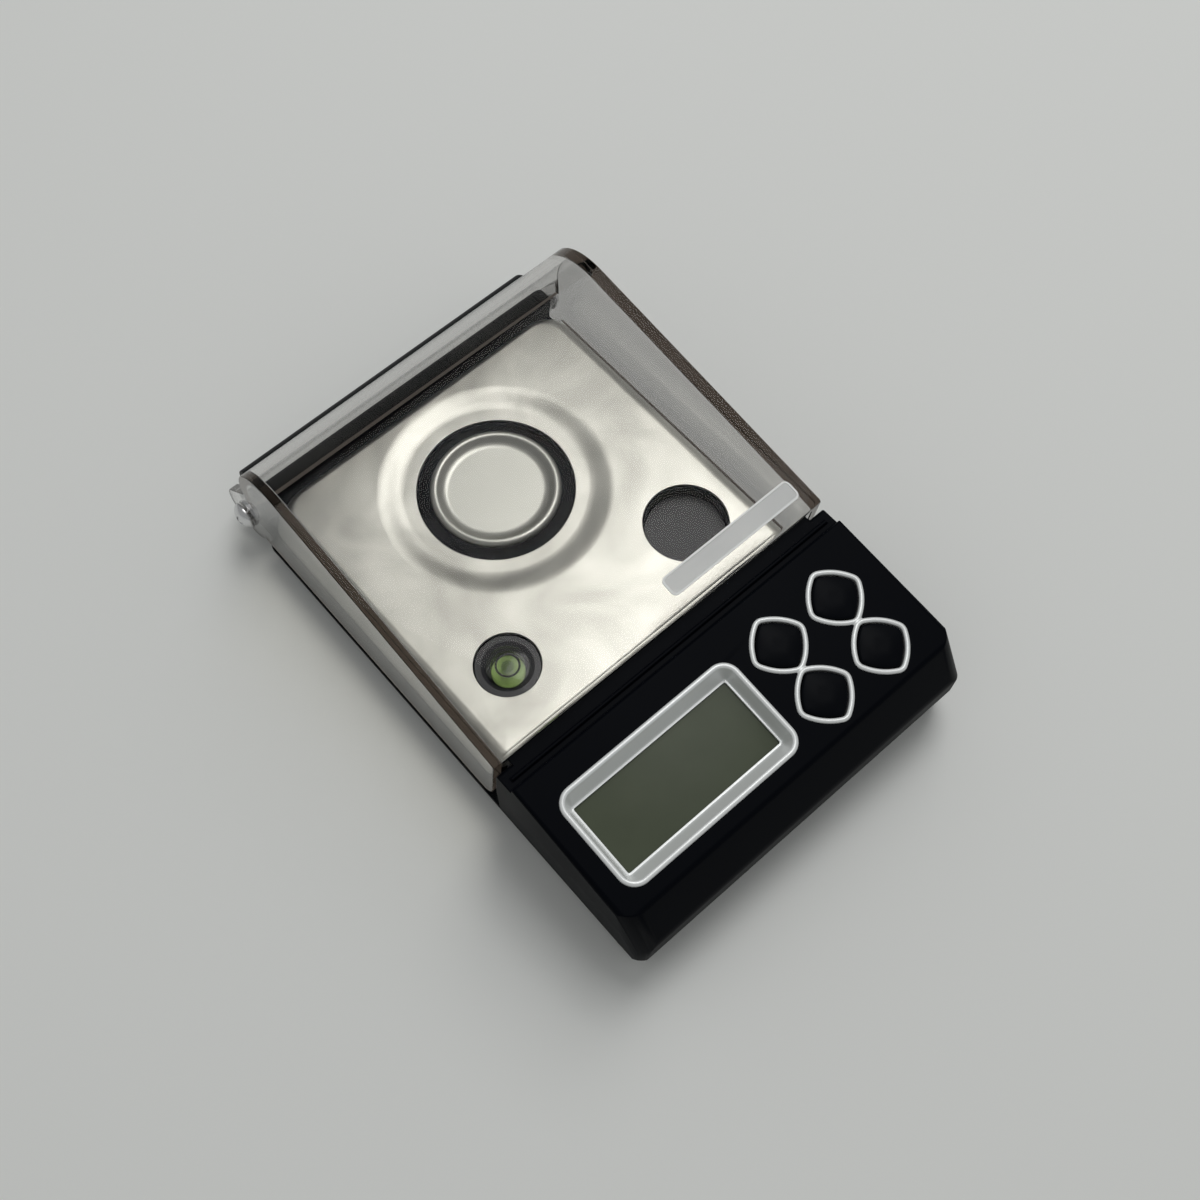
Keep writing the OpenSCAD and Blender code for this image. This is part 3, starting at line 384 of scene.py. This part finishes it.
# Keys: four crowned diamond caps moulded in navy-black ABS, each inside one loop of a silver painted trim.
# The two loops of a column are one moulding. A flange under the trim keeps each cap in, and its stem presses
# the switch below.
KEY_PLACES = {"left": 16.3, "right": 32.85, "front": -8.75, "rear": 5.15}
KEY_HALF = 6.3
KEY_BOW = 13.0
KEY_CORNER = 2.6
KEY_STEPS = 96
TRIM_BEAD_HALF = 0.575
TRIM_BEAD = [
    (TRIM_BEAD_HALF - TRIM_BEAD_HALF * math.cos(a), BEAD_BASE + BEAD_RISE * math.sin(a)) for a in BEAD_ANGLES
]
TRIM_LOOPS = [*TRIM_BEAD, (1.15, -2.0), (0.6, -2.0), (0.6, BEAD_BASE), TRIM_BEAD[0]]
BRIDGE_HALF = (1.3, 0.95, BEAD_RISE)
CAP_FLANGE = [(0.6, -3.15), (0.6, -2.45), (1.45, -2.45)]
CAP_EDGE = [(1.45, -0.05), (1.51, 0.13), (1.65, 0.27), (1.85, 0.34)]
CROWN_SHARES = (0.8, 0.55, 0.28)
CROWN_REACH = 5.6
CROWN_RADIUS = 25.0
CROWN_SINK = 24.2
STEM_RADIUS = 2.0
STEM_HEIGHTS = (-4.5, -3.0)


def outline(turn, inset):
    """Point of the bowed diamond, shrunk by the inset, where its outward normal has that angle."""
    lean = KEY_BOW - KEY_HALF
    reach = (math.sqrt(2 * (KEY_BOW - KEY_CORNER) ** 2 - lean**2) - lean) / 2
    corner = round(turn / (math.pi / 2)) * math.pi / 2
    normal = Vector((math.cos(turn), math.sin(turn)))
    if abs(turn - corner) <= math.atan2(lean, 2 * reach + lean):
        centre = Vector((math.cos(corner), math.sin(corner))) * reach * math.sqrt(2)
        return centre + normal * (KEY_CORNER - inset)
    side = corner + math.copysign(math.pi / 4, turn - corner)
    return Vector((math.cos(side), math.sin(side))) * -lean + normal * (KEY_BOW - inset)


def diamond(loops):
    """A skin through bowed diamonds (inset, height) in millimetres, and its last edges."""
    bm = bmesh.new()
    points = bmesh.ops.create_circle(bm, segments=KEY_STEPS, radius=1.0)["verts"]
    edges = bm.edges[:]
    for i, (inset, height) in enumerate(loops):
        if i > 0:
            edges, points = grow(bm, edges)
        for j, vert in enumerate(sorted(points, key=lambda v: math.atan2(v.co.y, v.co.x))):
            turn = -math.pi + (j + 0.5) * math.tau / KEY_STEPS
            vert.co = (*outline(turn, inset), height)
    return bm, edges


key_abs = moulded("moulded_abs_key_navy", "#05070c", (0.36, 0.46), 0.25, 0.005, level=0.05)
on_panel = PANEL @ Matrix.Scale(MM, 4)
for column in ("left", "right"):
    pair = bmesh.new()
    for row in ("front", "rear"):
        at_key = on_panel @ Matrix.Translation((KEY_PLACES[column], KEY_PLACES[row], 0))
        loop = diamond(TRIM_LOOPS)[0]
        bmesh.ops.remove_doubles(loop, verts=loop.verts, dist=0.001)
        bmesh.ops.recalc_face_normals(loop, faces=loop.faces)
        loop.transform(at_key)
        loop_mesh = bpy.data.meshes.new("loop")
        loop.to_mesh(loop_mesh)
        loop.free()
        pair.from_mesh(loop_mesh)
        bpy.data.meshes.remove(loop_mesh)

        crown, edges = diamond(CAP_FLANGE + CAP_EDGE)
        for share in CROWN_SHARES:
            rim_reach = max(v.co.xy.length for e in edges for v in e.verts)
            edges, points = grow(crown, edges)
            for vert in points:
                flat = vert.co.xy * (share * CROWN_REACH / rim_reach)
                vert.co = (*flat, math.sqrt(CROWN_RADIUS**2 - flat.length_squared) - CROWN_SINK)
        bmesh.ops.contextual_create(crown, geom=edges)
        bmesh.ops.contextual_create(crown, geom=[e for e in crown.edges if e.is_boundary])
        bmesh.ops.create_cone(
            crown,
            cap_ends=True,
            segments=32,
            radius1=STEM_RADIUS,
            radius2=STEM_RADIUS,
            depth=STEM_HEIGHTS[1] - STEM_HEIGHTS[0],
            matrix=Matrix.Translation((0, 0, sum(STEM_HEIGHTS) / 2)),
        )
        bmesh.ops.recalc_face_normals(crown, faces=crown.faces)
        crown.transform(at_key)
        key = f"key_{column}_{row}"
        cap = solid(f"cap_{column}_{row}", crown, key_abs, 40)
        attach(cap, key)
        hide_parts(key)
    between_rows = (KEY_PLACES["front"] + KEY_PLACES["rear"]) / 2
    bridge = Matrix.Translation((KEY_PLACES[column], between_rows, BEAD_BASE))
    bmesh.ops.create_uvsphere(
        pair,
        u_segments=32,
        v_segments=16,
        radius=1.0,
        matrix=on_panel @ bridge @ Matrix.Diagonal((*BRIDGE_HALF, 1)),
    )
    trim = solid(f"trim_{column}_silver", pair, silver, 40)
    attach(trim, "base")
    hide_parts(f"trim_{column}")

# Deck cover: a drawn sheet of stainless steel, bent down on every side, dished round the pan and pierced for
# the level and the weight recess. Its long sides roll down in a wide bend, and its matt finish is cloudy. It
# is pressed over the pedestal of the housing.
COVER_HALF = 42.7
COVER_ENDS = (-24.1, 58.5)
COVER_TOP = 16.3
SIDE_BEND = 3.4
END_BEND = 1.9
FLAT_CORNERS = (0.1, 4.1)
COVER_SKIRT = 3.8
COVER_SHEET = 0.8
COVER_EASE = 0.12
DISH_CENTRE = Vector((0.0, 28.6))
DISH_RADII = (27.8, 21.2, 18.5)
DISH_STEPS = 12
DISH_DROP = 1.0
HOLES = [(26.5, -7.4, 9.9), (-26.5, -7.4, 7.6)]
sheet = bmesh.new()
flat_half = COVER_HALF - SIDE_BEND
flat_ends = (COVER_ENDS[0] + END_BEND, COVER_ENDS[1] - END_BEND)
for x, y in [(-1, 0), (1, 0), (1, 1), (-1, 1)]:
    sheet.verts.new((x * flat_half, flat_ends[y], COVER_TOP))
sheet.faces.new(sheet.verts[:])
for end, corner in zip(flat_ends, FLAT_CORNERS):
    bmesh.ops.bevel(
        sheet,
        geom=[v for v in sheet.verts if abs(v.co.y - end) < 0.01],
        offset=corner,
        affect="VERTICES",
        segments=8,
        profile=0.5,
        material=-1,
    )
bmesh.ops.delete(sheet, geom=sheet.faces[:], context="FACES_ONLY")
fill_edges = sheet.edges[:]
edges = fill_edges
bend = [(math.sin(math.radians(a)), 1 - math.cos(math.radians(a))) for a in range(15, 91, 15)]
before = 0.0
for reach, share in [*bend, (1.0, None)]:
    edges, points = grow(sheet, edges)
    for vert in points:
        end = 0 if vert.co.y < sum(COVER_ENDS) / 2 else 1
        corner = FLAT_CORNERS[end]
        inward = corner if end == 0 else -corner
        centre = Vector((math.copysign(flat_half - corner, vert.co.x), flat_ends[end] + inward))
        out = vert.co.xy - centre
        out.x = out.x / (corner + before * SIDE_BEND)
        out.y = out.y / (corner + before * END_BEND)
        drop = COVER_SKIRT
        if share is not None:
            drop = (out.x**2 * SIDE_BEND + out.y**2 * END_BEND) * share
        vert.co.x = centre.x + out.x * (corner + reach * SIDE_BEND)
        vert.co.y = centre.y + out.y * (corner + reach * END_BEND)
        vert.co.z = COVER_TOP - drop
    before = reach
middle = Matrix.Translation((*DISH_CENTRE, COVER_TOP))
circle = bmesh.ops.create_circle(sheet, segments=128, radius=DISH_RADII[0], matrix=middle)["verts"]
edges = list({e for v in circle for e in v.link_edges})
fill_edges = fill_edges + edges
dish = []
for step in range(1, DISH_STEPS + 1):
    way = step / DISH_STEPS
    dish.append((DISH_RADII[0] + (DISH_RADII[1] - DISH_RADII[0]) * way, 0.5 - math.cos(math.pi * way) / 2))
for radius, share in [*dish, (DISH_RADII[2], 1.0)]:
    edges, points = grow(sheet, edges)
    for vert in points:
        spread = (vert.co.xy - DISH_CENTRE).normalized() * radius
        vert.co = (*(DISH_CENTRE + spread), COVER_TOP - DISH_DROP * share)
for x, y, radius in HOLES:
    hole = Matrix.Translation((x, y, COVER_TOP))
    circle = bmesh.ops.create_circle(sheet, segments=72, radius=radius, matrix=hole)["verts"]
    fill_edges = fill_edges + list({e for v in circle for e in v.link_edges})
bmesh.ops.triangle_fill(sheet, edges=fill_edges, use_beauty=True, use_dissolve=False, normal=(0, 0, 1))
bmesh.ops.scale(sheet, vec=(MM, MM, MM), verts=sheet.verts)
bmesh.ops.recalc_face_normals(sheet, faces=sheet.faces)
bmesh.ops.solidify(sheet, geom=sheet.faces[:], thickness=COVER_SHEET * MM)
rims = [e for e in sheet.edges if e.is_manifold and e.calc_face_angle() > math.radians(60)]
bmesh.ops.bevel(
    sheet, geom=rims, offset=COVER_EASE * MM, affect="EDGES", segments=2, profile=0.5, material=-1
)

stainless, tree, place = blank("drawn_stainless_matt")
grit = noise(tree, place, 0.3, 4.0)
cloud = noise(tree, place, 24, 3.0, distortion=0.8)
surface(
    tree,
    {"Metallic": 1.0},
    {
        "Base Color": ramp(tree, cloud, ("#adaca5", "#e3e2da"), (0.3, 0.7)),
        "Roughness": between(tree, cloud, 0.32, 0.5),
        "Normal": relief(tree, grit, 0.25, 0.005),
    },
)
deck = solid("deck_cover", sheet, stainless, 50)
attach(deck, "base")
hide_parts("deck_plate")

# Pan: a spun stainless dish with a flat floor, a flared wall and a rolled bead for a rim, standing on the
# carrier of the weighing cell. Spinning leaves rings too fine to see one by one.
PAN_CENTRE = (0.0, 28.6, 14.32)
PAN_BEAD_CENTRE = (14.15, 0.8625)
PAN_BEAD_RADIUS = 1.15
PAN_BEAD = [
    (PAN_BEAD_CENTRE[0] + PAN_BEAD_RADIUS * math.cos(a), PAN_BEAD_CENTRE[1] + PAN_BEAD_RADIUS * math.sin(a))
    for a in [math.radians(d) for d in range(-125, 151, 12)]
]
PAN_WALL = [(12.75, 1.12), (12.3, 0.87), (11.85, 0.7), (11.4, 0.62), (10.9, 0.6)]
PAN_PROFILE = [(0, 0), (10.9, 0), (11.4, 0.08), *PAN_BEAD, *PAN_WALL, (0, 0.6)]
RING_PITCH = 0.4
WAVE_PERIOD = 0.314
spun, tree, place = blank("spun_stainless_bright")
centred = add(tree, "ShaderNodeMapping", {"Location": (0, -PAN_CENTRE[1] * MM, 0)}, {"Vector": place})
rings = add(
    tree,
    "ShaderNodeTexWave",
    {
        "wave_type": "RINGS",
        "rings_direction": "Z",
        "Scale": WAVE_PERIOD / (RING_PITCH * MM),
        "Distortion": 0.6,
        "Detail": 1.0,
    },
    {"Vector": centred.outputs[0]},
).outputs["Fac"]
surface(
    tree,
    {"Base Color": linear("#c6c6bf"), "Metallic": 1.0},
    {"Roughness": between(tree, rings, 0.38, 0.45), "Normal": relief(tree, rings, 0.06, 0.002)},
)
pan = solid("pan", copies(turned(PAN_PROFILE, 96), [PAN_CENTRE]), spun, 60)
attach(pan, "pan")
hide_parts("weighing_pan")

# Spirit level: a black moulded cup hangs in its hole in the deck and holds a sealed clear vial of green
# spirit, with an air bubble and one ring printed on the glass.
SPIRIT_BED = (12.0, 12.5)
finish_node(moulded("moulded_abs_cup", "#1e1e24", (0.35, 0.5), 0.3, 0.006), "level_cup")
finish_node(moulded("printed_ink_black", "#0c0d0c", (0.5, 0.6), 0.2, 0.001), "level_ring")
spirit, tree, place = blank("tinted_spirit_green")
height = add(tree, "ShaderNodeSeparateXYZ", {}, {"Vector": place}).outputs["Z"]
above_bed = add(
    tree,
    "ShaderNodeMapRange",
    {"From Min": SPIRIT_BED[0] * MM, "From Max": SPIRIT_BED[1] * MM},
    {"Value": height},
)
murk = noise(tree, place, 2, 1.0)
bed = add(tree, "ShaderNodeBsdfDiffuse", {}, {"Color": ramp(tree, murk, ("#d2e6a4", "#dcedb4"))})
drink = add(tree, "ShaderNodeBsdfTransparent", {"Color": linear("#f3f9e6")})
skin = add(
    tree, "ShaderNodeMixShader", {}, {0: above_bed.outputs[0], 1: bed.outputs[0], 2: drink.outputs[0]}
)
add(tree, "ShaderNodeOutputMaterial", {}, {"Surface": skin.outputs[0]})
finish_node(spirit, "level_fluid")


def clear(name, tint, gloss):
    """A thin clear wall: it passes light straight, tinted, and mirrors more of it the flatter it is seen."""
    made, tree, place = blank(name)
    wave = relief(tree, noise(tree, place, 12, 1.0), 0.15, 0.01)
    slant = add(tree, "ShaderNodeLayerWeight", {"Blend": 0.5}, {"Normal": wave}).outputs["Facing"]
    steep = add(tree, "ShaderNodeMath", {"operation": "POWER", 1: 5.0}, {0: slant}).outputs[0]
    share = between(tree, steep, 0.04, 0.9)
    through = add(tree, "ShaderNodeBsdfTransparent", {"Color": linear(tint)})
    shine = add(tree, "ShaderNodeBsdfGlossy", {"Roughness": gloss}, {"Normal": wave})
    skin = add(tree, "ShaderNodeMixShader", {}, {0: share, 1: through.outputs[0], 2: shine.outputs[0]})
    add(tree, "ShaderNodeOutputMaterial", {}, {"Surface": skin.outputs[0]})
    return made


finish_node(clear("cast_acrylic_vial", "#f9fbf7", 0.02), "level_vial")
finish_node(clear("air_bubble", "#f4fae8", 0.02), "level_bubble")

# Hood: a clear acrylic draught cover, moulded in one piece with two ears, lightly smoked so that its edges
# look brown end on. It turns on two screws in the hinge barrel and its front edge rests behind the panel.
HOOD_FOOT_TOP = 22.0
FACING_DOWN = -0.7
acrylic, tree, place = blank("moulded_acrylic_smoked")
wave = relief(tree, noise(tree, place, 12, 1.0), 0.15, 0.01)
glass = add(
    tree,
    "ShaderNodeBsdfPrincipled",
    {"Roughness": 0.01, "IOR": 1.49, "Specular Tint": linear("#484848"), "Transmission Weight": 1.0},
    {"Normal": wave},
)
rays = add(tree, "ShaderNodeLightPath")
through = add(tree, "ShaderNodeBsdfTransparent", {"Color": linear("#fafaf8")})
skin = add(
    tree,
    "ShaderNodeMixShader",
    {},
    {0: rays.outputs["Is Shadow Ray"], 1: glass.outputs[0], 2: through.outputs[0]},
)
smoke = add(tree, "ShaderNodeVolumeAbsorption", {"Color": linear("#cdc2b4"), "Density": 30.0})
add(tree, "ShaderNodeOutputMaterial", {}, {"Surface": skin.outputs[0], "Volume": smoke.outputs[0]})
matt_foot = moulded("moulded_acrylic_matt_foot", "#6b625b", (0.5, 0.6), 0.8, 0.002, ior=1.49)
hood_shell = eased("hood", 0.25, 40, 3)
for face in hood_shell.faces:
    if face.normal.z < FACING_DOWN and face.calc_center_median().z < HOOD_FOOT_TOP * MM:
        face.material_index = 1
cover = solid("hood_cover", hood_shell, acrylic, 50)
cover.data.materials.append(matt_foot)
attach(cover, "hood")
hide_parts("hood")

# Hood label: a bare frosted bar near the front edge, cut from film with rounded corners and a raised white
# border, bonded flat on the slope of the hood.
LABEL_SIZE = (37.0, 5.0, 0.25)
LABEL_CORNER = 1.4
LABEL_PLACE = Vector((25.0, -22.0, 32.396)) * MM
LABEL_SLOPE = math.radians(8.36)
BORDER_WIDTH = 0.45
BORDER_STEP = (0.08, 0.1)
frosted, tree, place = blank("frosted_acrylic_film")
haze = noise(tree, place, 0.3, 3.0)
surface(
    tree,
    {"Base Color": linear("#f6f7f5"), "IOR": 1.49, "Transmission Weight": 0.35},
    {"Roughness": between(tree, haze, 0.4, 0.6), "Normal": relief(tree, haze, 0.4, 0.01)},
)
border_white = moulded("printed_border_white", "#f4f5f3", (0.4, 0.5), 0.3, 0.004)
film = bmesh.new()
half_long = LABEL_SIZE[0] / 2 * MM
half_wide = LABEL_SIZE[1] / 2 * MM
film.faces.new([film.verts.new((x * half_long, y * half_wide, 0)) for x, y in SQUARE])
bmesh.ops.bevel(
    film,
    geom=film.verts[:],
    offset=LABEL_CORNER * MM,
    affect="VERTICES",
    segments=8,
    profile=0.5,
    material=-1,
)
raised = bmesh.ops.extrude_face_region(film, geom=film.faces[:])["geom"]
points = [v for v in raised if isinstance(v, bmesh.types.BMVert)]
bmesh.ops.translate(film, vec=(0, 0, LABEL_SIZE[2] * MM), verts=points)
upper = [f for f in raised if isinstance(f, bmesh.types.BMFace)]
border = bmesh.ops.inset_region(film, faces=upper, thickness=BORDER_WIDTH * MM, use_even_offset=True)
for face in border["faces"]:
    face.material_index = 1
bmesh.ops.inset_region(
    film, faces=upper, thickness=BORDER_STEP[0] * MM, depth=-BORDER_STEP[1] * MM, use_even_offset=True
)
bmesh.ops.recalc_face_normals(film, faces=film.faces)
film.transform(Matrix.Translation(LABEL_PLACE) @ Matrix.Rotation(LABEL_SLOPE, 4, "X"))
label = solid("label", film, frosted, 30)
label.data.materials.append(border_white)
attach(label, "hood")
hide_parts("hood_label")

# Hinge screws: nickel-plated shoulder screws with a domed, cross-slotted head, driven through the hood's ears
# into the barrel, with a turned washer between each ear and the barrel.
nickel = metal("plated_nickel", "#d9d9da", (0.18, 0.3), 0.3, 0.003)
heads = solid("hinge_screws", eased("pivot_screws", 0.12), nickel)
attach(heads, "base")
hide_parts("pivot_screws")
finish_node(nickel, "pivot_washers")

# Stage: a plain pale table top in an even studio, with a soft light overhead, a second one from the right
# that only fills the shadows and isn't mirrored, and the camera where the photograph was taken from.
TABLE_HALF = 3.0
STUDIO_STRENGTH = 0.35
table_paint, tree, place = blank("painted_table")
fibre = noise(tree, place, 1.5, 3.0)
surface(
    tree,
    {"Base Color": linear("#ecedea"), "Roughness": 0.75},
    {"Normal": relief(tree, fibre, 0.05, 0.02)},
)
top = bmesh.new()
bmesh.ops.create_grid(top, x_segments=1, y_segments=1, size=TABLE_HALF)
table = solid("table", top, table_paint)

studio = bpy.data.worlds.new("studio")
studio.use_nodes = True
background = studio.node_tree.nodes["Background"]
background.inputs["Color"].default_value = linear("#f4f6f6")
background.inputs["Strength"].default_value = STUDIO_STRENGTH
bpy.context.scene.world = studio
bpy.context.scene.view_settings.view_transform = "Standard"


def soft_light(name, place, size, power):
    """A square studio light facing the balance."""
    lamp = bpy.data.lights.new(name, "AREA")
    lamp.size = size
    lamp.energy = power
    made = bpy.data.objects.new(name, lamp)
    made.location = place
    made.rotation_euler = (-Vector(place)).to_track_quat("-Z", "Y").to_euler()
    bpy.context.scene.collection.objects.link(made)
    return made


soft_light("overhead_light", (0.44, 0.2, 1.25), 0.55, 3.8)
fill = soft_light("side_light", (1.0, 0.5, 1.2), 0.8, 4.4)
fill.visible_glossy = False
fill.visible_transmission = False

CAMERA_PLACE = Vector((-88.7, -107.0, 298.3)) * MM
CAMERA_RIGHT = Vector((0.757918, -0.651922, -0.023631))
CAMERA_DOWN = Vector((-0.604926, -0.688800, -0.399524))
CAMERA_AHEAD = Vector((0.244182, 0.317101, -0.916418))
lens = bpy.data.cameras.new("camera")
lens.sensor_width = 36.0
lens.lens = 41.816
lens.shift_x = 0.0349
lens.shift_y = 0.0302
lens.clip_start = 0.01
camera = bpy.data.objects.new("camera", lens)
turn = Matrix((CAMERA_RIGHT, -CAMERA_DOWN, -CAMERA_AHEAD)).transposed()
camera.matrix_world = Matrix.Translation(CAMERA_PLACE) @ turn.to_4x4()
bpy.context.scene.collection.objects.link(camera)
bpy.context.scene.camera = camera
